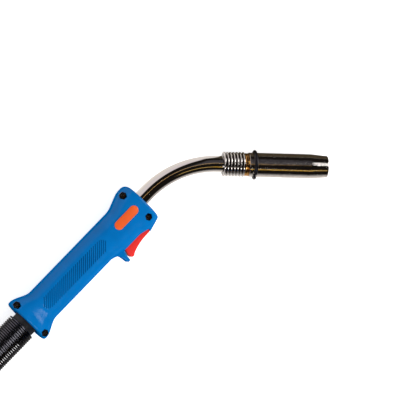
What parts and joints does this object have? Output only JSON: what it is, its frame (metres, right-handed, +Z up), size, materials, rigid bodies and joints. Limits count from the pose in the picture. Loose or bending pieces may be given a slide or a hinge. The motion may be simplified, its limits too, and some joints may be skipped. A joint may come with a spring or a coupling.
{
  "type": "mig welding torch",
  "caption": "Gas-cooled MIG welding torch with split handle, trigger, swan neck, finned head, push-on gas nozzle, sprung cable outlet, coiled cable and machine connector.",
  "frame": {"origin": "on the floor under the middle of the torch's box, from the cable outlet's tail to the nozzle's mouth; the free cable, its spring and the connector are left out of the box", "axes": "the torch lies on its side: +X along the handle towards the neck, +Y away from the trigger, +Z up, the side with the badge uppermost"},
  "size_m": [0.6542, 0.2777, 0.048],
  "materials": {
    "blue_plastic": "moulded plastic, satin",
    "orange_label": "plain moulded badge, satin",
    "red_plastic": "moulded plastic, half gloss",
    "black_plastic": "moulded plastic, satin",
    "white_plastic": "satin",
    "lead_insulation": "satin",
    "brown_insulation": "pressed insulation, matt",
    "black_steel": "black oxide, satin",
    "spring_steel": "black lacquered spring wire, satin",
    "bright_steel": "turned, bright",
    "neck_chrome": "polished chrome plate",
    "head_chrome": "polished chrome plate",
    "dark_chrome": "polished dark chrome plate, slightly speckled",
    "brass": "turned, satin",
    "copper_tube": "drawn copper, satin",
    "copper_tip": "turned copper alloy, satin",
    "cable_rubber": "smooth cable jacket, satin"
  },
  "bodies": {
    "torch": {"handle_shell_upper": "blue_plastic", "handle_shell_lower": "blue_plastic", "handle_screws": "bright_steel", "handle_nuts": "black_steel", "badge": "orange_label", "trigger_pin": "bright_steel", "microswitch_body": "black_plastic", "switch_terminals": "brass", "switch_leads": "lead_insulation", "neck_outer_tube": "neck_chrome", "neck_insulation": "brown_insulation", "neck_inner_tube": "copper_tube", "wire_liner": "bright_steel", "neck_nut": "brass", "cable_terminal": "brass", "crimp_sleeve": "brass", "cable_stub": "cable_rubber", "cooling_head": "head_chrome", "nozzle_seat_ring": "brass", "nozzle_insulator": "brown_insulation", "tip_holder": "brass", "gas_diffuser": "white_plastic", "contact_tip": "copper_tip"},
    "trigger": {"trigger": "red_plastic"},
    "plunger": {"switch_plunger": "white_plastic"},
    "nozzle": {"gas_nozzle": "dark_chrome", "nozzle_clip_ring": "black_steel"},
    "cable": {"ball_joint": "black_plastic", "cable_neck": "cable_rubber", "bend_spring": "spring_steel", "cable_front": "cable_rubber", "cable_coil": "cable_rubber", "cable_rear": "cable_rubber", "rear_spring": "spring_steel", "connector_housing": "black_plastic", "housing_screw": "bright_steel", "connector_block": "brass", "insulating_disc": "black_plastic", "centre_pin": "brass"},
    "contact_left": {"contact_pin_left": "brass"},
    "contact_right": {"contact_pin_right": "brass"},
    "lock_nut": {"locking_nut": "black_plastic"}
  },
  "joints": [
    {"name": "trigger_press", "type": "hinge", "parent": "torch", "child": "trigger", "pos_m": [-0.0101, 0.02749, 0.02], "axis": [0, 0, -1], "range_deg": [0, 7], "stiffness_Nm_per_rad": 0.5, "springref_deg": -2.86},
    {"name": "plunger_slide", "type": "slide", "parent": "torch", "child": "plunger", "axis": [0, 1, 0], "range_m": [0, 0.0016]},
    {"name": "nozzle_pull", "type": "slide", "parent": "torch", "child": "nozzle", "axis": [0.682, -0.7314, 0], "range_m": [0, 0.04]},
    {"name": "cable_swivel", "type": "hinge", "parent": "torch", "child": "cable", "pos_m": [-0.1466, 0.04699, 0.02], "axis": [0, 0, 1], "range_deg": [-8, 8]},
    {"name": "lock_nut_turn", "type": "hinge", "parent": "cable", "child": "lock_nut", "pos_m": [-0.1697, -0.18071, 0.024], "axis": [1, 0, 0], "continuous": true},
    {"name": "contact_left_push", "type": "slide", "parent": "cable", "child": "contact_left", "axis": [-1, 0, 0], "range_m": [0, 0.004], "stiffness_N_per_m": 500, "springref_m": -0.001},
    {"name": "contact_right_push", "type": "slide", "parent": "cable", "child": "contact_right", "axis": [-1, 0, 0], "range_m": [0, 0.004], "stiffness_N_per_m": 500, "springref_m": -0.001}
  ],
  "couplings": [
    {"joint": "plunger_slide", "follows": "trigger_press", "m_per_rad": 0.0125}
  ]
}
